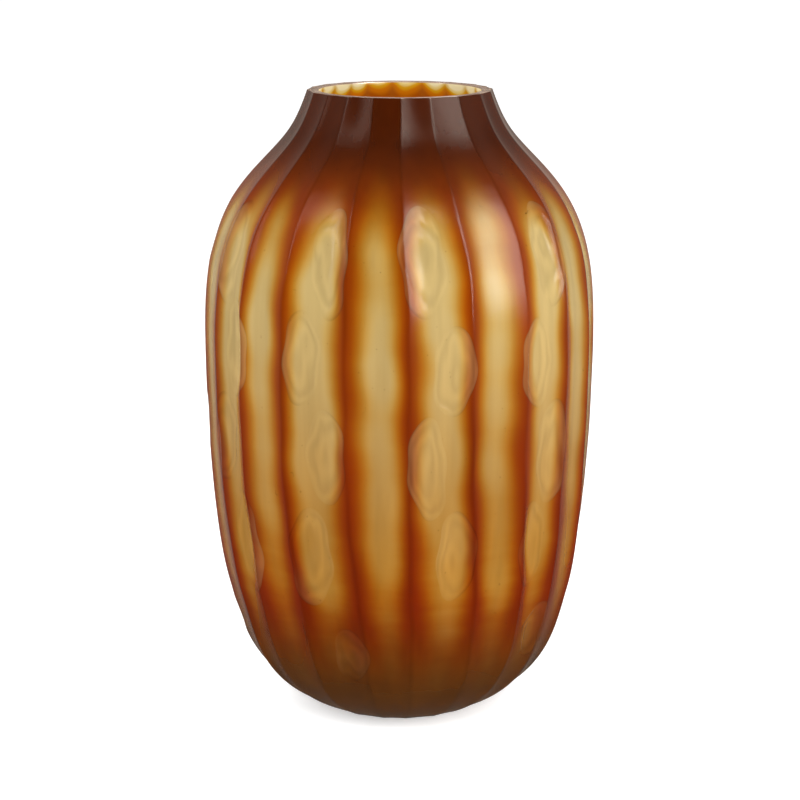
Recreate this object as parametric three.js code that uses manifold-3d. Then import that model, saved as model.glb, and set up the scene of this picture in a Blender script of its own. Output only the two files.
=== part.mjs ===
// A hand-blown vase in two layers of glass, in millimetres, +Z up, origin at the middle of the foot.
//
// The inner vessel is honey-coloured, with a thick solid base. The amber casing is the overlay that was
// picked up over it while hot. Upright flutes, ground by hand, go through the casing between the shoulder
// and the lower wall, and leave it there as ribs. Round the neck and the foot the casing stays whole.

import * as THREE from 'three';
import { mergeVertices } from 'three/addons/utils/BufferGeometryUtils.js';
import Module from 'manifold-3d';

const wasm = await Module();
wasm.setup();

const { degToRad, lerp, smoothstep } = THREE.MathUtils;

// ---- Driving sizes -------------------------------------------------------------------------------------

const height = 320; // foot to rim
const bellyRadius = 100; // widest, over the ridges
const rimRadius = 46.8; // outside of the cut rim
const footRadius = 38.7; // outside edge of the ground foot

const wallThickness = 5.6; // both layers together, at the belly
const rimWallThickness = 6.2; // both layers together, at the rim
const baseThickness = 24; // solid glass under the floor of the vessel

const casingAtBelly = 1.4; // amber layer where the flutes go through it
const casingAtNeck = 2.1; // thicker towards the neck, where the bubble was blown out least
const casingAtFoot = 2.6; // and towards the foot
const seam = 0.3; // clearance between the two layers
const footEase = 0.5; // the casing's lower edge is ground back this far above the foot

const fluteCount = 20;
const fluteDepth = 2.4; // at the belly, below the round blown surface
const fluteTaper = 1.3; // how fast the flutes get shallower as the vase gets narrower

// Ridges are cut by eye, so each stands a little off its even place, in degrees.
const firstRidge = 2.5; // the one nearest the front
const ridgeDrift = [
  0, 0.4, 0.1, -1, -2.6, 0.5, 1.2, -0.6, 0.8, -1.1,
  0.3, 1, -0.8, -0.4, 1.3, 0.7, 2.2, -0.8, -2, 0,
];

// ---- Shape of the outline and of the two layers --------------------------------------------------------

// Stations up the outline: radius and height, the slope there in degrees from level, and how strongly the
// arcs into and out of it hold that slope, as shares of the distance to the next station.
const outlineStations = [
  { at: [footRadius, 0], slope: 23, pullOut: 0.52 },
  { at: [0.894 * bellyRadius, 0.208 * height], slope: 74.8, pullIn: 0.32, pullOut: 0.27 }, // bowl
  { at: [bellyRadius, 0.611 * height], slope: 90, pullIn: 0.18, pullOut: 0.51 }, // belly
  { at: [0.712 * bellyRadius, 0.886 * height], slope: 133.7, pullIn: 0.32, pullOut: 0.45 }, // shoulder
  { at: [rimRadius, height], slope: 109.7, pullIn: 0.47 },
];

const neckBlend = [0.82, 0.955]; // shares of the height over which the walls change towards the neck
const footBlend = [0.25, 0.125]; // and towards the foot
const baseBlend = 0.36; // share of the height over which the thick base runs out into the wall
const floorRise = 0.4; // how steeply the floor climbs at its edge, beside the outline's own climb
const overrun = 6; // how far the blown shapes run past the rim and the foot before they are cut level

const fluteFacets = 4; // across one flute
const coreFacets = 2; // across one flute, where the two layers meet
const arcFacets = 4; // along each of the outline's arcs
const cavityFacets = 36; // round the smooth inside

// ---- Outline -------------------------------------------------------------------------------------------

const along = (degrees, length) =>
  new THREE.Vector2(Math.cos(degToRad(degrees)), Math.sin(degToRad(degrees))).multiplyScalar(length);

// The arc between two neighbouring stations.
function outlineArc(low, high) {
  const from = new THREE.Vector2(...low.at);
  const to = new THREE.Vector2(...high.at);
  const span = from.distanceTo(to);
  const leaving = from.clone().add(along(low.slope, low.pullOut * span));
  const arriving = to.clone().sub(along(high.slope, high.pullIn * span));
  return new THREE.CubicBezierCurve(from, leaving, arriving, to);
}

// Points up the outline, each with its outward direction, run on in a straight line past both ends.
function outlinePoints() {
  const points = [];
  for (let index = 1; index < outlineStations.length; index++) {
    const curve = outlineArc(outlineStations[index - 1], outlineStations[index]);
    for (let step = index === 1 ? 0 : 1; step <= arcFacets; step++) {
      const point = curve.getPoint(step / arcFacets);
      const tangent = curve.getTangent(step / arcFacets);
      points.push({ point, outward: new THREE.Vector2(tangent.y, -tangent.x) });
    }
  }
  const first = points[0];
  const last = points[points.length - 1];
  const footSlope = outlineStations[0].slope;
  const rimSlope = outlineStations[outlineStations.length - 1].slope;
  const below = first.point.clone().sub(along(footSlope, overrun / Math.sin(degToRad(footSlope))));
  const above = last.point.clone().add(along(rimSlope, overrun));
  return [{ point: below, outward: first.outward }, ...points, { point: above, outward: last.outward }];
}

const outline = outlinePoints();
const blend = (z, [from, to]) => smoothstep((z / height - from) / (to - from), 0, 1);

// The outline moved inwards by a distance that may change with the height.
const insideOutline = (distanceAt) =>
  outline.map(({ point, outward }) => point.clone().addScaledVector(outward, -distanceAt(point.y)));

function casingThickness(z) {
  const atNeck = blend(z, neckBlend) * (casingAtNeck - casingAtBelly);
  const atFoot = blend(z, footBlend) * (casingAtFoot - casingAtBelly);
  return casingAtBelly + atNeck + atFoot;
}

const wallAt = (z) => lerp(wallThickness, rimWallThickness, blend(z, neckBlend));

// The inside of the vessel: the outline less the wall, lifted off the foot by the thick base.
function cavityOutline() {
  const inside = insideOutline(wallAt).slice(1);
  const floor = inside[0].y;
  return inside.map((point) => {
    const lifted = baseThickness + floorRise * (point.y - floor);
    return new THREE.Vector2(point.x, lerp(lifted, point.y, smoothstep(point.y, floor, baseBlend * height)));
  });
}

// ---- Solids --------------------------------------------------------------------------------------------

// A profile turned about Z, closed onto the axis at both ends.
function turned(profile, facets) {
  const low = new THREE.Vector2(0, profile[0].y);
  const high = new THREE.Vector2(0, profile[profile.length - 1].y);
  return new THREE.LatheGeometry([low, ...profile, high], facets).rotateX(Math.PI / 2);
}

function solidFrom(geometry) {
  const bare = geometry.clone();
  bare.deleteAttribute('normal');
  bare.deleteAttribute('uv');
  const merged = mergeVertices(bare);
  const corners = [];
  for (let index = 0; index < merged.index.count; index += 3) {
    const [a, b, c] = merged.index.array.slice(index, index + 3);
    if (a !== b && b !== c && c !== a) corners.push(a, b, c); // triangles that end on the axis have no area
  }
  const vertProperties = new Float32Array(merged.attributes.position.array);
  return new wasm.Manifold(new wasm.Mesh({ numProp: 3, vertProperties, triVerts: new Uint32Array(corners) }));
}

function geometryFrom(solid) {
  const { vertProperties, triVerts } = solid.getMesh();
  const geometry = new THREE.BufferGeometry();
  geometry.setAttribute('position', new THREE.BufferAttribute(vertProperties, 3));
  geometry.setIndex(new THREE.BufferAttribute(triVerts, 1));
  geometry.computeVertexNormals();
  return geometry;
}

// Angle of a ridge round the vase, in radians from +X. The front of the vase is at -Y.
function ridgeAngle(ridge) {
  const drift = ridgeDrift[ridge % fluteCount % ridgeDrift.length];
  return degToRad(-90 + firstRidge + drift + (360 / fluteCount) * ridge);
}

// How deep a flute goes below the blown surface: `across` runs from 0 at one ridge to 1 at the next.
const fluteCut = (across, radius) =>
  fluteDepth * (radius / bellyRadius) ** fluteTaper * (1 - (2 * across - 1) ** 2);

const uncut = () => 0;

// A turned form with `facets` across each flute, its corners in line with the ridges, cut inwards by `cutAt`.
function ridgedForm(profile, facets, cutAt) {
  const steps = fluteCount * facets;
  const geometry = turned(profile, steps);
  const position = geometry.attributes.position;
  const ringLength = profile.length + 2;
  for (let index = 0; index < position.count; index++) {
    const step = Math.floor(index / ringLength) % steps;
    const ridge = Math.floor(step / facets);
    const across = (step % facets) / facets;
    const angle = lerp(ridgeAngle(ridge), ridgeAngle(ridge + 1), across);
    const radius = Math.hypot(position.getX(index), position.getY(index));
    const cut = radius - Math.min(radius, cutAt(across, radius));
    position.setXY(index, cut * Math.cos(angle), cut * Math.sin(angle));
  }
  return solidFrom(geometry);
}

// Everything between two levels, for cutting the rim and the foot flat.
function slab(low, high) {
  const width = 3 * bellyRadius;
  return solidFrom(new THREE.BoxGeometry(width, width, high - low).translate(0, 0, (low + high) / 2));
}

const fluted = ridgedForm(insideOutline(uncut), fluteFacets, fluteCut);

function innerVessel() {
  const core = ridgedForm(insideOutline((z) => casingThickness(z) + seam), coreFacets, uncut);
  const cavity = solidFrom(turned(cavityOutline(), cavityFacets));
  return fluted.intersect(core).intersect(slab(0, height)).subtract(cavity);
}

function amberCasing() {
  const core = ridgedForm(insideOutline(casingThickness), coreFacets, uncut);
  return fluted.intersect(slab(footEase, height)).subtract(core);
}

// ---- Parts ---------------------------------------------------------------------------------------------

const honeyGlass = new THREE.MeshStandardMaterial({ color: 0xc8a054, roughness: 0.25, metalness: 0 });
const amberGlass = new THREE.MeshStandardMaterial({ color: 0x8a3a0a, roughness: 0.18, metalness: 0 });

const vase = new THREE.Group();

function addPart(name, solid, material) {
  const mesh = new THREE.Mesh(geometryFrom(solid), material);
  mesh.name = name;
  vase.add(mesh);
}

addPart('inner_vessel', innerVessel(), honeyGlass);
addPart('amber_casing', amberCasing(), amberGlass);

export default vase;
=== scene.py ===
import math
import bpy
import numpy as np
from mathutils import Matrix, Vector


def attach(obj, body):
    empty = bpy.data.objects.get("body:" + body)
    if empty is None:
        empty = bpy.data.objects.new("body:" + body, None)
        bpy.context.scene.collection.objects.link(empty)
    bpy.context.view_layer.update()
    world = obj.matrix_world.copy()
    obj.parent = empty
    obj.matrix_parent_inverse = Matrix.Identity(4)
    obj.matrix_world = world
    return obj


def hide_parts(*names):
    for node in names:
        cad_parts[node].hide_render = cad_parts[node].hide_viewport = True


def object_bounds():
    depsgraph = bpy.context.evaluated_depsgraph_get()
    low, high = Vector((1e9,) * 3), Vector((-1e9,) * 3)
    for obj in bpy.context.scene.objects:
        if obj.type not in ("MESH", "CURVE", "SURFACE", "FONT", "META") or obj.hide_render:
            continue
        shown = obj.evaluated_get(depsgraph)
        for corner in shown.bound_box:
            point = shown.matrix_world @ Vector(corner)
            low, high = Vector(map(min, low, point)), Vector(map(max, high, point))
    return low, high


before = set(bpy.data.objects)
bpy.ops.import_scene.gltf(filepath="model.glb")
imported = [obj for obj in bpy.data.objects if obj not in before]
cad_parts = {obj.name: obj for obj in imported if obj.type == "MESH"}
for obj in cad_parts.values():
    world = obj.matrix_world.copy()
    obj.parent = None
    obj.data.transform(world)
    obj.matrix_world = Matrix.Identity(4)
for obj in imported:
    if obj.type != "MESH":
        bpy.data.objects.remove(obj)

cadLow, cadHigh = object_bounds()
mm = 0.001
print("frame loaded, box in mm", [round(v / mm, 1) for v in cadHigh - cadLow])


# A vase blown in two layers of glass, with flutes and oval cuts ground through the outer one.
# Lengths are in millimetres as far as the meshes. Its blown outline follows the frame's box.
form = {
    "height": cadHigh.z / mm,
    "bellyRadius": max(cadHigh.x, cadHigh.y) / mm,
    "rimRadius": 46.8,
    "footRadius": 38.7,
    # up the wall: radius and height as shares, slope in degrees from level, and how far the arcs
    # into and out of the station hold that slope
    "stations": [
        {"height": 0, "slope": 23, "pullOut": 0.52},                                            # foot
        {"radius": 0.894, "height": 0.208, "slope": 74.8, "pullIn": 0.32, "pullOut": 0.27},     # bowl
        {"radius": 1, "height": 0.611, "slope": 90, "pullIn": 0.18, "pullOut": 0.51},           # belly
        {"radius": 0.712, "height": 0.886, "slope": 133.7, "pullIn": 0.32, "pullOut": 0.45},    # shoulder
        {"height": 1, "slope": 109.7, "pullIn": 0.47},                                          # rim
    ],
    "rowPitch": 1.9,            # between two rows of the mesh
}


def along(degrees):
    return np.array([math.cos(math.radians(degrees)), math.sin(math.radians(degrees))])


# Radius, height and outward direction at every row, from the foot up.
def traceOutline():
    ends = {0: form["footRadius"], 1: form["rimRadius"]}
    rows = []
    for low, high in zip(form["stations"], form["stations"][1:]):
        start, end = (np.array([ends.get(at["height"], at.get("radius", 0) * form["bellyRadius"]),
                                at["height"] * form["height"]]) for at in (low, high))
        span = np.linalg.norm(end - start)
        leaving = start + low["pullOut"] * span * along(low["slope"])
        arriving = end - high["pullIn"] * span * along(high["slope"])
        steps = round(span / form["rowPitch"])
        for t in np.linspace(0, 1, steps + 1)[1 if rows else 0:]:
            s = 1 - t
            point = s**3 * start + 3 * s * s * t * leaving + 3 * s * t * t * arriving + t**3 * end
            slope = s * s * (leaving - start) + 2 * s * t * (arriving - leaving) + t * t * (end - arriving)
            slope /= np.linalg.norm(slope)
            rows.append([*point, slope[1], -slope[0]])
    return np.array(rows)


outline = traceOutline()
rowRadius, rowHeight, rowOut, rowUp = (outline[:, i:i + 1] for i in range(4))
rowShare = rowHeight / form["height"]
print("outline traced,", len(outline), "rows")


def smooth(value, low, high):
    t = np.clip((value - low) / (high - low), 0, 1)
    return t * t * (3 - 2 * t)


flutes = {
    "count": 20,
    "depth": 2.4,               # at the belly
    "taper": 1.1,               # how fast they get shallower as the vase gets narrower
    "firstRidge": 2.5,          # degrees right of the front
    # how far each ridge stands off its even place, in degrees
    "drift": [0, 0.4, 0.1, -1, -2.6, 0.5, 1.2, -0.6, 0.8, -1.1,
              0.3, 1, -0.8, -0.4, 1.3, 0.7, 2.2, -0.8, -2, 0],
    "ridgeRound": 0.14,         # worn off the ridges
    "footLean": 3.0,            # the ridges lean over towards the foot, in degrees
    "footLeanBlend": (0.12, 0.48),
    "neckLean": 2.8,            # and to either side at the neck
    "neckLeanBlend": (0.66, 0.93),
    "neckLeanTurn": 0.47,       # where round the vase they lean most, in radians
    "tremble": 0.35,            # of the hand, in degrees
    "trembleWaves": (17, 31),   # long and short ones up the height
    "secondPass": 0.3,          # every other flute is ground a little deeper
    "secondPassFoot": (0.1, 0.4),
    "secondPassNeck": (0.7, 0.9),
    "lopsided": 0.3,            # most of them deeper to one side
    "columns": 22,              # mesh columns across one flute
    "crowding": 0.45,           # how far the columns crowd towards the ridges
}


def ridgeAngle(ridge, share):
    turn = 2 * math.pi * ridge / flutes["count"]
    long, short = flutes["trembleWaves"]
    lean = flutes["footLean"] * (1 - 0.5 * math.cos(7 * turn)) * (1 - smooth(share, *flutes["footLeanBlend"]))
    atNeck = smooth(share, *flutes["neckLeanBlend"])
    lean = lean - flutes["neckLean"] * math.cos(3 * turn - flutes["neckLeanTurn"]) * atNeck
    lean = lean + flutes["tremble"] * np.sin(long * share + 5 * turn) * np.sin(short * share + 9 * turn)
    return turn + np.radians(-90 + flutes["firstRidge"] + flutes["drift"][ridge % flutes["count"]] + lean)


# Angle of every point, row by row, and how far across its flute each column stands.
def layColumns():
    even = np.arange(flutes["columns"]) / flutes["columns"]
    shares = even - flutes["crowding"] * np.sin(2 * math.pi * even) / (2 * math.pi)
    angles = []
    for ridge in range(flutes["count"]):
        here, following = ridgeAngle(ridge, rowShare), ridgeAngle(ridge + 1, rowShare)
        angles.append(here + (following - here) * shares)
    return np.hstack(angles), np.tile(shares, flutes["count"])


angle, across = layColumns()
columns = angle.shape[1]
hollow = 2 * across - 1                                     # -1 and 1 at the ridges, 0 between them


def fluteCuts():
    flute = np.repeat(np.arange(flutes["count"]), flutes["columns"])
    depth = flutes["depth"] * (rowRadius / form["bellyRadius"]) ** flutes["taper"] * (1 - hollow**2)
    depth = depth * (1 + flutes["lopsided"] * hollow * np.sin(2.3 * flute + 4 * rowShare))
    again = smooth(rowShare, *flutes["secondPassFoot"]) * (1 - smooth(rowShare, *flutes["secondPassNeck"]))
    return depth + flutes["secondPass"] * (flute % 2 == 0) * (1 - hollow**4) * again


ovals = {
    "top": 246,                 # height of the highest one
    "pitch": 49,
    "rows": 4,
    "halfWidth": 10.9,
    "halfLength": 24.5,
    "varies": (0.08, 0.09, 3),  # in width and length, as shares, and in height
    "sideways": 6.6,            # off the middle of the flute, to the left and right in turn
    "tilt": 0.05,               # no two lie quite upright
    "depth": 1.15,              # below the flute
    "innerDepth": 0.3,          # of the second, smaller pass of the wheel
    "innerSize": (0.5, 0.7),    # its width and length, beside the first one's
    "innerAside": (0.22, 2),    # share of the width that it stands aside, and how far down
    "wander": 0.7,              # of their edges
    "wanderWaves": (3.7, 8.3),
    "chip": (15, 9.5),          # half length and half width of the short ones near the foot
    "outside": -0.6,            # the least that a point outside them counts
    "toneKept": 0.55,           # share of their depth that doesn't thin the amber's colour
}


# Depth of the oval cuts, and how far inside one each point is: every other flute has a zigzag of them.
def ovalCuts():
    depth = np.zeros(angle.shape)
    inside = np.full(angle.shape, ovals["outside"])
    wider, longer, higher = ovals["varies"]
    shortWave, longWave = ovals["wanderWaves"]
    for flute in range(0, flutes["count"], 2):
        chipped = flute % 4 == 2                            # these have a short one more, near the foot
        for row in range(ovals["rows"] + chipped):
            place = 3 * flute + 5 * row                     # makes each cut a little different
            z = ovals["top"] - ovals["pitch"] * row + higher * math.sin(place)
            share = z / form["height"]
            middle = (ridgeAngle(flute, share) + ridgeAngle(flute + 1, share)) / 2
            side = (-1) ** (row + flute // 2 + 1)
            length = ovals["halfLength"] * (1 + longer * math.sin(2 * place + 1))
            width = ovals["halfWidth"] * (1 + wider * math.sin(4 * place + 2))
            if row == ovals["rows"]:
                length, width = ovals["chip"]
            turned = (angle - middle + math.pi) % (2 * math.pi) - math.pi
            x = turned * rowRadius - side * ovals["sideways"]
            y = rowHeight - z
            x = x + ovals["tilt"] * y * math.sin(7 * place)
            x = x + ovals["wander"] * (np.sin(y / shortWave + place) + np.sin(y / longWave + 2 * place))
            reach = 1 - (x / width) ** 2 - (y / length) ** 2
            innerX = (x - ovals["innerAside"][0] * side * width) / (ovals["innerSize"][0] * width)
            innerY = (y + ovals["innerAside"][1]) / (ovals["innerSize"][1] * length)
            second = np.maximum(1 - innerX**2 - innerY**2, 0)
            depth = np.maximum(depth, ovals["depth"] * reach + ovals["innerDepth"] * second)
            inside = np.maximum(inside, reach)
    return depth, inside


layers = {
    "wall": 5.6,                # both layers, at the belly
    "wallAtRim": 6.2,
    "base": 24,                 # solid glass under the floor
    "baseBlend": 0.36,          # share of the height where the thick base has run out
    "floorRise": 0.4,
    "floorDish": 0.8,           # how far the middle of the floor lies lower
    "casing": 1.4,              # the amber layer, at the belly
    "casingAtNeck": 2.7,
    "casingAtFoot": 2.6,
    "neckBlend": (0.812, 0.935),
    "footBlend": (0.1, 0.3),
    "unevenness": 0.15,         # of the amber layer, which was gathered by hand
    # the waves of it: size, how many round the vase, and how they turn up the height
    "waves": [(1, 3, 9), (0.7, 8, -21), (0.5, 13, 43), (0.5, 6, 67)],
    "flattest": 0.3,            # the least that the wall's lean counts when the layer is measured level
    "seam": 0.05,               # so thin that the layers read as fused
    "footEase": 0.5,            # the casing ends this far above the table
    "edgeEase": 0.45,           # polished off the rim's inner edge
    "lip": 0.1,                 # share of that off its outer edge
}


def casingThickness():
    toNeck = smooth(rowShare, *layers["neckBlend"])
    toFoot = 1 - smooth(rowShare, *layers["footBlend"])
    thickness = layers["casing"] + toNeck * (layers["casingAtNeck"] - layers["casing"])
    thickness = thickness + toFoot * (layers["casingAtFoot"] - layers["casing"])
    waves = sum(size * np.sin(count * angle + turn * rowShare) for size, count, turn in layers["waves"])
    waves = waves + 0.6 * np.sin(7 * angle + 3) * np.sin(29 * rowShare + 2 * angle)
    return thickness + layers["unevenness"] * waves


ovalCut, ovalRings = ovalCuts()
cut = np.hypot(fluteCuts() + ovalCut, flutes["ridgeRound"]) - flutes["ridgeRound"]
coreDepth = casingThickness() / np.maximum(rowOut, layers["flattest"])      # measured level, as the cuts are
amberLeft = (coreDepth - cut) * rowOut                      # below zero where the flute has gone through
tone = amberLeft + ovals["toneKept"] * ovalCut * rowOut     # what the eye makes of it, light coming from all sides
outerRadius = rowRadius - cut
coreRadius = rowRadius - coreDepth
covered = amberLeft > 0
for axis, step in ((0, 1), (0, -1), (1, 1), (1, -1)):       # and one cell further, under the feather edges
    covered = covered | np.roll(covered, step, axis=axis)
print("flutes laid,", columns, "columns, amber left from", round(amberLeft.min(), 2), "to",
      round(amberLeft.max(), 2), "mm")


def ring(radius, height, angles):
    height = np.broadcast_to(height, np.shape(angles))
    return np.stack([radius * np.cos(angles), radius * np.sin(angles), height], axis=-1)


# Normals of a grid of rows that closes on itself round the vase.
def gridNormals(grid):
    up = np.gradient(grid, axis=0)
    roundabout = np.roll(grid, -1, axis=1) - np.roll(grid, 1, axis=1)
    normal = np.cross(roundabout, up)
    return normal / np.maximum(np.linalg.norm(normal, axis=-1, keepdims=True), 1e-9)


outerGrid = ring(outerRadius, rowHeight, angle)
outerNormals = gridNormals(outerGrid)                       # both layers share them, so no step shows between them


# Two triangles for every cell between neighbouring rows of a grid, all split the same way, so that
# one layer never shows through the other.
def gridFaces(rows):
    row, column = np.meshgrid(np.arange(rows - 1), np.arange(columns), indexing="ij")
    beside = (column + 1) % columns
    a, b = row * columns + column, row * columns + beside
    c, d = b + columns, a + columns
    return np.stack([a, b, c, a, c, d], axis=-1).reshape(-1, 3)


def joinRings(lower, upper):
    lowerNext, upperNext = np.roll(lower, -1), np.roll(upper, -1)
    return np.stack([lower, lowerNext, upperNext, lower, upperNext, upper], axis=-1).reshape(-1, 3)


def meshPiece(name, points, faces, materialIndex, normals, values):
    mesh = bpy.data.meshes.new(name)
    mesh.from_pydata((points * mm).tolist(), [], faces.tolist())
    mesh.polygons.foreach_set("material_index", materialIndex)
    for key, value in values.items():
        mesh.attributes.new(key, "FLOAT", "POINT").data.foreach_set("value", value.astype(np.float32))
    mesh.shade_smooth()
    corners = np.zeros(len(mesh.loops), np.int32)
    mesh.loops.foreach_get("vertex_index", corners)
    mesh.normals_split_custom_set(normals[corners].tolist())
    piece = bpy.data.objects.new(name, mesh)
    bpy.context.scene.collection.objects.link(piece)
    return piece


# Radius and height of the inside, row by row: the outline less the wall, lifted by the thick base.
def cavityRows():
    toRim = smooth(rowShare, *layers["neckBlend"])
    thickness = layers["wall"] + toRim * (layers["wallAtRim"] - layers["wall"])
    radius = rowRadius - rowOut * thickness
    height = rowHeight - rowUp * thickness
    floor = height[0]
    lifted = layers["base"] + layers["floorRise"] * (height - floor)
    t = smooth(height, floor, layers["baseBlend"] * form["height"])
    return radius[:, 0], (lifted + t * (height - lifted))[:, 0]


vesselSlots = {"wall": 0, "cavity": 1, "rim": 2, "foot": 3}
footRings = (0.02, 0.3, 0.6, 0.85, 0.97)                    # across the ground foot, as shares of its radius
floorRings = (0.8, 0.6, 0.4, 0.2, 0.02)
rimTurns = (30, 60, 90)                                     # round the rim's polished edge, in degrees


# The inner vessel: foot, outside wall, rim and cavity as one closed skin.
def buildVessel():
    rings, marks, kinds = [], [], []                        # a ring, its amber, and the band that ends there

    def add(points, amber, kind):
        rings.append(points)
        marks.append(np.broadcast_to(amber, columns))
        kinds.append(kind)

    core = np.minimum(outerRadius, coreRadius) - layers["seam"] * covered
    for share in footRings:
        add(ring(core[0] * share, 0, angle[0]), tone[0], "foot")
    for row in range(len(outline)):
        add(ring(core[row], rowHeight[row, 0] if row else 0, angle[row]), tone[row], "wall" if row else "foot")
    top, ease = form["height"], layers["edgeEase"]
    lip = ease * layers["lip"]
    rings[-1][:, 2] = top - lip

    radius, height = cavityRows()
    inside = np.interp(top, height, radius)
    add(ring(core[-1] - lip, top, angle[-1]), tone[-1], "rim")
    add(ring(inside + ease, top, angle[-1]), 0, "rim")
    for turn in rimTurns:
        bend = math.radians(turn)
        add(ring(inside + ease * (1 - math.sin(bend)), top - ease * (1 - math.cos(bend)), angle[-1]), 0, "rim")
    cavity = [row for row in range(len(radius)) if height[row] < top - ease][::-2]
    for row in cavity:
        add(ring(radius[row], height[row], angle[row]), 0, "cavity")
    last = cavity[-1]
    for share in floorRings:
        dish = layers["floorDish"] * (1 - share**2)
        add(ring(radius[last] * share, height[last] - dish, angle[0]), 0, "cavity")

    grid = np.array(rings)
    count = len(rings) * columns
    points = np.vstack([grid.reshape(-1, 3), [[0, 0, 0], [0, 0, grid[-1, 0, 2]]]])
    first, lastRing = np.arange(columns), np.arange(columns) + count - columns
    under = np.stack([np.roll(first, -1), first, np.full(columns, count)], axis=-1)
    floor = np.stack([lastRing, np.roll(lastRing, -1), np.full(columns, count + 1)], axis=-1)
    faces = np.vstack([gridFaces(len(rings)), under, floor])
    bands = np.repeat([vesselSlots[kind] for kind in kinds[1:]], 2 * columns)
    ends = np.repeat([vesselSlots["foot"], vesselSlots["cavity"]], columns)
    start = kinds.index("wall") - 1
    wall = slice(start * columns, (start + len(outline)) * columns)
    normals = np.zeros((len(points), 3))                    # a zero leaves the mesh's own
    normals[wall] = outerNormals.reshape(-1, 3)
    inOval = np.full(len(points), ovals["outside"])
    inOval[wall] = ovalRings.reshape(-1)
    ridge = np.zeros(len(points))
    ridge[:count] = np.tile(np.abs(hollow), len(rings))
    amber = np.concatenate([np.array(marks).reshape(-1), [0, 0]])
    return meshPiece("innerVessel", points, faces, np.concatenate([bands, ends]), normals,
                     {"amberLeft": amber, "ovalRing": inOval, "ridge": ridge})


# The amber casing: the ribs, the neck and the foot left by the flutes.
def buildCasing():
    first = int(np.argmax(rowHeight[:, 0] > layers["footEase"]))
    rows = len(outline) - first
    count = rows * columns
    outer = outerGrid[first:].copy()
    inner = ring(np.minimum(coreRadius, outerRadius), rowHeight, angle)[first:]
    outer[-1, :, 2] = form["height"]
    inner[-1, :, 2] = form["height"]
    whole = (amberLeft > 0)[first:].reshape(-1)
    outside = gridFaces(rows)
    outside = outside[whole[outside].any(axis=1)]
    innerIndex = np.where(whole, np.arange(count) + count, np.arange(count))    # one point where it feathers out
    inside = innerIndex[outside][:, ::-1]
    low = np.arange(columns)
    top = low + count - columns
    faces = np.vstack([outside, inside, joinRings(top, innerIndex[top]), joinRings(innerIndex[low], low)])
    index = np.repeat([0, 1, 2], [2 * len(outside), 2 * columns, 2 * columns])      # wall, rim and foot
    points = np.vstack([outer.reshape(-1, 3), inner.reshape(-1, 3)])
    normals = np.vstack([outerNormals[first:].reshape(-1, 3), np.zeros((count, 3))])
    used = np.unique(faces)
    renumber = np.zeros(len(points), int)
    renumber[used] = np.arange(len(used))
    values = {"amberLeft": tone[first:].reshape(-1), "ovalRing": ovalRings[first:].reshape(-1),
              "ridge": np.tile(np.abs(hollow), rows)}
    return meshPiece("amberCasing", points[used], renumber[faces], index, normals[used],
                     {key: np.tile(value, 2)[used] for key, value in values.items()})


vessel = buildVessel()
casing = buildCasing()
print("meshes built:", len(vessel.data.polygons), "and", len(casing.data.polygons), "faces")


# A number or colour on its way through a material's nodes.
class Flow:
    def __init__(self, graph, socket):
        self.graph = graph
        self.socket = socket

    def __add__(self, other):
        return self.graph.maths("ADD", self, other)

    def __radd__(self, other):
        return self.graph.maths("ADD", other, self)

    def __sub__(self, other):
        return self.graph.maths("SUBTRACT", self, other)

    def __rsub__(self, other):
        return self.graph.maths("SUBTRACT", other, self)

    def __mul__(self, other):
        return self.graph.maths("MULTIPLY", self, other)

    def __rmul__(self, other):
        return self.graph.maths("MULTIPLY", other, self)

    def __truediv__(self, other):
        return self.graph.maths("DIVIDE", self, other)

    def __rtruediv__(self, other):
        return self.graph.maths("DIVIDE", other, self)

    def __pow__(self, other):
        return self.graph.maths("POWER", self, other)

    def __rpow__(self, other):
        return self.graph.maths("POWER", other, self)

    def smooth(self, low, high):
        settings = {"interpolation_type": "SMOOTHSTEP", "clamp": True}
        return self.graph.add("ShaderNodeMapRange", settings, self, low, high)


# A colour as a painter mixes it, 0 to 255, into the renderer's light values.
def linear(colour):
    shares = [c / 255 for c in colour]
    return (*(s / 12.92 if s <= 0.04045 else ((s + 0.055) / 1.055) ** 2.4 for s in shares), 1)


def grey(shade):
    return (shade, shade, shade, 1)


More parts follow.
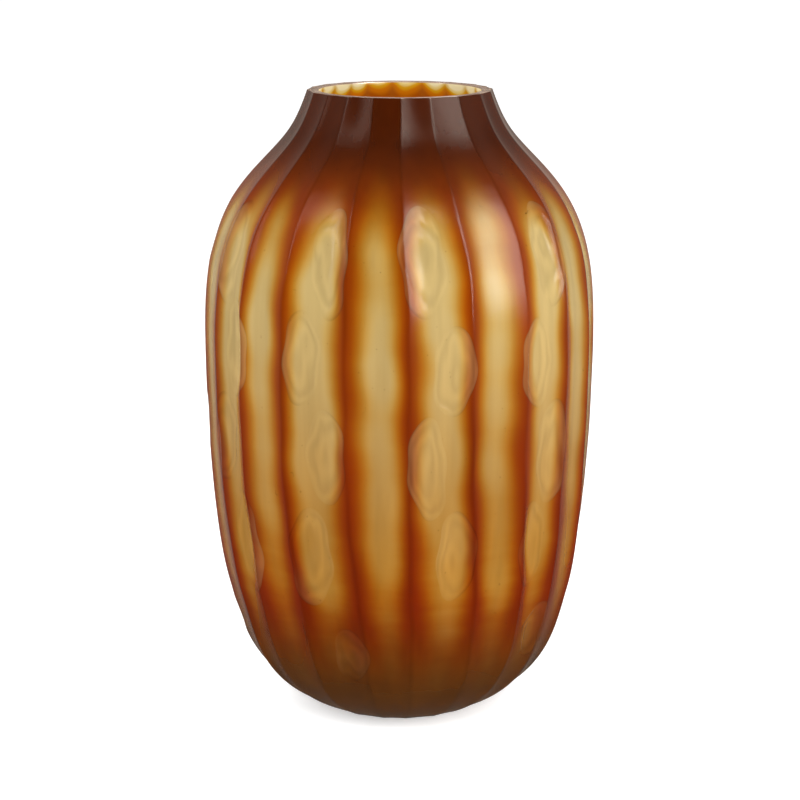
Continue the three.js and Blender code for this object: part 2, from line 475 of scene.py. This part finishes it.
class Graph:
    def __init__(self, owner):
        owner.use_nodes = True
        self.tree = owner.node_tree
        self.tree.nodes.clear()

    # A node of that type: its settings, then its sockets in order or by name.
    def add(self, kind, settings=None, *values, out=0, **named):
        node = self.tree.nodes.new(kind)
        for key, value in (settings or {}).items():
            if key == "stops":
                self.setStops(node.color_ramp, value)
            else:
                setattr(node, key, value)
        sockets = [(node.inputs[i], value) for i, value in enumerate(values)]
        for name, value in named.items():
            sockets.append((next(s for s in node.inputs if name in (s.identifier, s.name.replace(" ", "_"))), value))
        for socket, value in sockets:
            if isinstance(value, Flow):
                self.tree.links.new(value.socket, socket)
            else:
                socket.default_value = value
        return Flow(self, node.outputs[out]) if node.outputs else node

    def setStops(self, ramp, stops):
        ramp.interpolation = "EASE"
        while len(ramp.elements) > 1:
            ramp.elements.remove(ramp.elements[-1])
        for number, (place, colour) in enumerate(stops):
            element = ramp.elements[0] if number == 0 else ramp.elements.new(place)
            element.position = place
            element.color = linear(colour)

    def maths(self, operation, *values):
        return self.add("ShaderNodeMath", {"operation": operation}, *values)

    def ramp(self, value, stops):
        return self.add("ShaderNodeValToRGB", {"stops": stops}, value)

    def mix(self, factor, a, b, blend="MIX"):
        return self.add("ShaderNodeMix", {"data_type": "RGBA", "blend_type": blend}, out=2,
                        Factor_Float=factor, A_Color=a, B_Color=b)

    # A colour dimmed by its own amount in red, green and blue.
    def dimmed(self, colour, *amounts):
        return self.mix(1, colour, self.add("ShaderNodeCombineXYZ", {}, *amounts), "MULTIPLY")

    def attribute(self, name):
        return self.add("ShaderNodeAttribute", {"attribute_name": name}, out=2)

    def point(self):
        return self.add("ShaderNodeTexCoord", out=3)

    def height(self):
        return self.add("ShaderNodeSeparateXYZ", {}, self.point(), out=2)

    def noise(self, scale, detail=3, stretch=(1, 1, 1)):
        place = self.add("ShaderNodeMapping", {}, self.point(), Scale=stretch)
        return self.add("ShaderNodeTexNoise", {}, place, Scale=scale, Detail=detail, Roughness=0.5)

    def bump(self, strength, distance, height):
        return self.add("ShaderNodeBump", {}, Strength=strength, Distance=distance, Height=height)

    def surface(self, **sockets):
        self.add("ShaderNodeOutputMaterial", {}, self.add("ShaderNodeBsdfPrincipled", {}, **sockets))


# A noise is its scale, its detail, and how far it is drawn out along each axis.
glass = {
    "brightness": 0.41,
    "paintedGlow": 0.165,              # painted glow: emission standing in for light that comes through the wall
    # the honey layer: greyer and darker low in the bowl, thick glass with painted shade where the table blocks light
    # from below; darkest above it, palest up the belly, dim round the neck, thick glass there with painted shade,
    # as (share of the height, colour)
    "honey": [(0.06, (108, 99, 104)), (0.26, (182, 128, 49)), (0.75, (211, 182, 118)),
              (0.8, (211, 182, 118)), (0.94, (104, 86, 56))],
    # what one unit of amber lets through: red, green and blue each fall off at their own rate
    "absorbs": (0.92, 3.0, 8.4),
    "amberFull": 0.83,          # where it counts as whole
    "amberRange": (-1.0, 1.65),  # millimetres left, from none to whole
    "neckAmber": -0.1,          # less of it round the neck, where the honey is dim already
    "neckBlend": (0.83, 0.9),
    "footAmber": -0.42,         # and low in the bowl, where the honey is painted darker
    "footBlend": (0.1, 0.24),
    "cloud": (26, 4, (1, 1, 0.35)),         # soft patches in the amber
    "streak": (150, 2, (1, 1, 0.06)),       # upright
    "ripple": (150, 2, (0.16, 0.16, 1)),    # level, mostly low down
    "rippleBlend": (0.18, 0.4),
    "shifts": (0.5, 0.14, 0.5, 0.12),       # of the amber by cloud, streak, ripple low down and ripple all over
    "shades": (0.5, 0.34),                  # of the brightness by cloud and streak
    "ridgeShade": 0.14,             # painted shade: darker along the ridges
    "ridgeShadeBlend": (0.86, 1.0),
    "specks": (480, 1),         # seeds in the glass
    "speckBlend": (0.76, 0.82),
    "speckShade": 0.3,
    "darkest": 0.2,
    "ovalHighlightColour": (216, 184, 118),
    "ovalMilkAndHighlight": 0.2,            # of that pale colour over the oval cuts: their milky ground face with a painted highlight
    "highlightPatches": (34, 2, (1, 1, 0.5)),
    "highlightLow": (0.25, 0.75, (0.16, 0.34)),  # its strength in the bowl, and what it gains above, where the painted highlight grows
    "highlightHigh": (0.7, (0.55, 0.7)),         # what it gains again at the shoulder, the painted highlight under the lights above
    "ovalEdgeShade": 0.22,           # painted shade: darker line round them, on the ridge side
    "ovalEdgeShadeBlend": (0.15, 0.8),
    "swirlTurns": 9,            # lines left by the wheel inside them
    "swirlWander": (70, 2, (1, 1, 0.3)),
    "swirlDrift": 22,
    "swirlBlend": (0.05, 0.35),
    "swirlShade": 0.07,
    "swirlBump": 0.7,
    "grind": (420, 2, (0.12, 0.12, 1)),     # fine level scratches
    "grindBump": 0.1,
    "swell": (60, 2),           # the slow unevenness of ground glass
    "swellBump": 1.6,
    "bump": (0.2, 0.0006),
    "gloss": 0.1,
    "specular": 0.35,
}


# Uneven lines left by the wheel inside the oval cuts.
def swirls(graph):
    inside = graph.attribute("ovalRing")
    wander = graph.noise(*glass["swirlWander"]) - 0.5
    lines = graph.maths("SINE", inside * glass["swirlTurns"] + wander * glass["swirlDrift"])
    return lines * inside.smooth(*glass["swirlBlend"])


# Honey glass, seen through as much amber as is left over it.
def throughAmber(graph, share, cloud, streak):
    byCloud, byStreak, byRippleLow, byRipple = glass["shifts"]
    ripple = graph.noise(*glass["ripple"]) - 0.5
    low = 1 - share.smooth(*glass["rippleBlend"])
    left = graph.attribute("amberLeft") + cloud * byCloud + streak * byStreak + ripple * (low * byRippleLow + byRipple)
    neck, foot = share.smooth(*glass["neckBlend"]), 1 - share.smooth(*glass["footBlend"])
    through = left.smooth(*glass["amberRange"]) * glass["amberFull"]
    through = through * (neck * glass["neckAmber"] + foot * glass["footAmber"] + 1)
    passed = [graph.maths("EXPONENT", through * -rate) for rate in glass["absorbs"]]
    return graph.dimmed(graph.ramp(share, glass["honey"]), *passed)


def glassColour(graph):
    share = graph.height() / cadHigh.z
    cloud = graph.noise(*glass["cloud"]) - 0.5
    streak = graph.noise(*glass["streak"]) - 0.5
    colour = throughAmber(graph, share, cloud, streak)

    inside, ridge = graph.attribute("ovalRing"), graph.attribute("ridge")
    # a milky veil over the oval cuts with a painted highlight, stronger higher up
    patchy = graph.noise(*glass["highlightPatches"]).smooth(0.35, 0.65)
    least, gained, lowBlend = glass["highlightLow"]
    again, highBlend = glass["highlightHigh"]
    strength = share.smooth(*lowBlend) * gained + share.smooth(*highBlend) * again + least
    milkAndHighlight = inside.smooth(0, 0.06) * patchy * strength * glass["ovalMilkAndHighlight"]
    colour = graph.mix(milkAndHighlight, colour, linear(glass["ovalHighlightColour"]))

    # painted shade round the oval cuts' edges, on the ridge side
    edgeShade = inside.smooth(-0.03, 0.03) * (1 - inside.smooth(0.03, 0.2)) * ridge.smooth(*glass["ovalEdgeShadeBlend"])
    # painted shade along the ridges
    ridgeShade = ridge.smooth(*glass["ridgeShadeBlend"])
    specks = graph.noise(*glass["specks"]).smooth(*glass["speckBlend"])
    shade = 1 + cloud * glass["shades"][0] + streak * glass["shades"][1] + swirls(graph) * glass["swirlShade"]
    shade = shade - edgeShade * glass["ovalEdgeShade"] - specks * glass["speckShade"] - ridgeShade * glass["ridgeShade"]
    shade = graph.maths("MAXIMUM", shade, glass["darkest"]) * glass["brightness"]
    return graph.dimmed(colour, shade, shade, shade)


def wheelMarks(graph):
    grind = graph.noise(*glass["grind"]) * glass["grindBump"]
    swell = graph.noise(*glass["swell"]) * glass["swellBump"]
    return graph.bump(*glass["bump"], grind + swell + swirls(graph) * glass["swirlBump"])


def glassMaterial(name):
    material = bpy.data.materials.new(name)
    graph = Graph(material)
    colour = glassColour(graph)
    # the colour also glows: painted light standing in for light that comes through the wall
    graph.surface(Base_Color=colour, Roughness=glass["gloss"], Normal=wheelMarks(graph),
                  Specular_IOR_Level=glass["specular"], Emission_Color=colour,
                  Emission_Strength=glass["paintedGlow"] / glass["brightness"])
    return material


cavityLook = {
    # down from the rim, as (millimetres below it, colour): pale near the rim, painted light coming in over it, then
    # the amber's orange, darker deeper down with painted shade
    "colours": [(0, (222, 206, 160)), (2, (212, 184, 108)), (3.6, (200, 144, 22)), (6, (190, 104, 6)),
                (10, (160, 74, 4)), (30, (140, 64, 6)), (60, (110, 56, 12))],
    "scallop": 4,               # how far the colours hang up the ridges, in millimetres
    "waver": (30, 2),
    "waverMiddle": 0.54,
    "waverReach": 18,           # and how far they wander, in millimetres
    "ridgeColour": (150, 92, 30),
    "ridgeShare": 0.3,
    "ridgeBlend": (0.5, 1.0),
    "brightness": 0.45,
    # painted glow, standing in for light that comes through the wall
    "paintedGlow": 0.55,
    "gloss": 0.12,
}


def cavityMaterial():
    material = bpy.data.materials.new("cavityWall")
    graph = Graph(material)
    ridge = graph.attribute("ridge")
    waver = graph.noise(*cavityLook["waver"]) - cavityLook["waverMiddle"]
    down = (cadHigh.z - graph.height()) * (1 / mm) + ridge**2 * cavityLook["scallop"]
    down = down + waver * cavityLook["waverReach"]
    reach = cavityLook["colours"][-1][0]
    colour = graph.ramp(down / reach, [(depth / reach, colour) for depth, colour in cavityLook["colours"]])
    overRidge = ridge.smooth(*cavityLook["ridgeBlend"]) * cavityLook["ridgeShare"]
    colour = graph.mix(overRidge, colour, linear(cavityLook["ridgeColour"]))
    colour = graph.mix(1, colour, grey(cavityLook["brightness"]), "MULTIPLY")
    graph.surface(Base_Color=colour, Roughness=cavityLook["gloss"], Specular_IOR_Level=glass["specular"],
                  Emission_Color=colour, Emission_Strength=cavityLook["paintedGlow"] / cavityLook["brightness"])
    return material


rimLook = {
    "colours": ((166, 142, 124), (132, 104, 86)),
    "patches": (90, 3),
    "blend": (0.35, 0.65),
    "grain": (500, 3),
    "bump": (0.15, 0.0004),
    "gloss": 0.2,
}

footLook = {
    "colours": ((96, 66, 40), (74, 44, 24)),
    "patches": (60, 4),
    "blend": (0.3, 0.7),
    "grain": (900, 2),
    "bump": (0.4, 0.0003),
    "gloss": 0.55,
}


# Glass that was ground flat: two colours in patches, with a grain.
def groundMaterial(name, look):
    material = bpy.data.materials.new(name)
    graph = Graph(material)
    colour = graph.mix(graph.noise(*look["patches"]).smooth(*look["blend"]), *map(linear, look["colours"]))
    bump = graph.bump(*look["bump"], graph.noise(*look["grain"]))
    graph.surface(Base_Color=colour, Roughness=look["gloss"], Normal=bump)
    return material


honey = glassMaterial("honeyGlass")
amber = glassMaterial("amberGlass")
cutRim = groundMaterial("cutRim", rimLook)
groundFoot = groundMaterial("groundFoot", footLook)
for material in (honey, cavityMaterial(), cutRim, groundFoot):
    vessel.data.materials.append(material)
for material in (amber, cutRim, groundFoot):
    casing.data.materials.append(material)
print("materials made")

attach(vessel, "root")
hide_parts("inner_vessel")
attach(casing, "root")
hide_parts("amber_casing")


# Floor, lights and camera, in metres and degrees.
studio = {
    "floorSize": 40,
    "floorShade": (0.86, 0.8858),
    "floorMottle": (3, 2),
    "floorRough": 0.9,
    "floorShine": 0.1,
    "floorGlow": 0.5,
    "skyLight": 0.62,           # even light from all sides
    # what the glass mirrors instead of it: dark behind the camera, paler cards at the sides and behind
    "cardsFront": 0.05,
    "cardsSide": 0.34,
    "cardsOver": 0.12,
    "cardsUnder": 0.1,
    "frontBlend": (0.0, 0.75),
    "overBlend": (0.3, 0.85),
    "underBlend": (0.05, 0.5),
    "warmth": (1, 0.87, 0.76, 1),   # of everything mirrored
    "aim": 0.6,                 # share of the vase's height that the lights look at
}


def buildFloor():
    size = studio["floorSize"] / 2
    mesh = bpy.data.meshes.new("studioFloor")
    mesh.from_pydata([(-size, -size, 0), (size, -size, 0), (size, size, 0), (-size, size, 0)], [], [(0, 1, 2, 3)])
    floor = bpy.data.objects.new("studioFloor", mesh)
    bpy.context.scene.collection.objects.link(floor)
    floor.visible_glossy = False
    material = bpy.data.materials.new("palePaper")
    graph = Graph(material)
    tone = graph.mix(graph.noise(*studio["floorMottle"]), *map(grey, studio["floorShade"]))
    graph.surface(Base_Color=tone, Roughness=studio["floorRough"], Specular_IOR_Level=studio["floorShine"],
                  Emission_Color=grey(1), Emission_Strength=studio["floorGlow"])
    mesh.materials.append(material)


def buildSurroundings():
    world = bpy.data.worlds.new("surroundings")
    bpy.context.scene.world = world
    graph = Graph(world)
    direction = graph.add("ShaderNodeTexCoord")
    away = graph.add("ShaderNodeSeparateXYZ", {}, direction, out=1)
    lift = graph.add("ShaderNodeSeparateXYZ", {}, direction, out=2)
    front, over = (away * -1).smooth(*studio["frontBlend"]), lift.smooth(*studio["overBlend"])
    under = (lift * -1).smooth(*studio["underBlend"])
    side = studio["cardsSide"]
    cards = front * (studio["cardsFront"] - side) + side
    cards = cards + over * (1 - front) * (studio["cardsOver"] - side)
    cards = cards + under * (1 - front) * (studio["cardsUnder"] - side)
    seen = graph.add("ShaderNodeLightPath")
    mirrored = graph.add("ShaderNodeLightPath", out=3)
    strength = (1 - seen - mirrored) * studio["skyLight"] + mirrored * cards + seen
    tint = graph.mix(mirrored, grey(1), studio["warmth"])
    graph.add("ShaderNodeOutputWorld", {}, graph.add("ShaderNodeBackground", {}, tint, strength))


# Tall soft boxes. Shine is what the glass mirrors of them, in watts.
softboxes = [
    {"name": "keyRight", "azimuth": 49, "elevation": 30, "distance": 1.5, "width": 0.95, "length": 1.6,
     "watts": 26, "shine": 460},
    {"name": "keyLeft", "azimuth": -62, "elevation": 36, "distance": 1.5, "width": 0.24, "length": 1.1,
     "watts": 16, "shine": 42},
]


def buildSoftbox(box):
    turn, lift = math.radians(box["azimuth"] - 90), math.radians(box["elevation"])
    away = Vector((math.cos(turn) * math.cos(lift), math.sin(turn) * math.cos(lift), math.sin(lift)))
    for kind in ("watts", "shine"):
        light = bpy.data.lights.new(box["name"], "AREA")
        light.shape = "RECTANGLE"
        light.size = box["width"]
        light.size_y = box["length"]
        light.energy = box[kind]
        light.color = studio["warmth"][:3] if kind == "shine" else (1, 1, 1)
        lamp = bpy.data.objects.new(box["name"] + kind.title(), light)
        lamp.location = Vector((0, 0, studio["aim"] * cadHigh.z)) + away * box["distance"]
        lamp.rotation_euler = away.to_track_quat("Z", "Y").to_euler()
        lamp.visible_camera = False
        lamp.visible_diffuse = kind == "watts"
        lamp.visible_glossy = kind == "shine"
        bpy.context.scene.collection.objects.link(lamp)


view = {"distance": 1.3, "height": 0.4452, "pitch": 12.384, "lens": 115.9, "sensor": 36}


def buildCamera():
    data = bpy.data.cameras.new("camera")
    data.lens = view["lens"]
    data.sensor_width = view["sensor"]
    camera = bpy.data.objects.new("camera", data)
    camera.location = (0, -view["distance"], view["height"])
    camera.rotation_euler = (math.radians(90 - view["pitch"]), 0, 0)
    bpy.context.scene.collection.objects.link(camera)
    bpy.context.scene.camera = camera


buildFloor()
buildSurroundings()
for box in softboxes:
    buildSoftbox(box)
buildCamera()
bpy.context.scene.view_settings.view_transform = "Standard"
print("studio set")
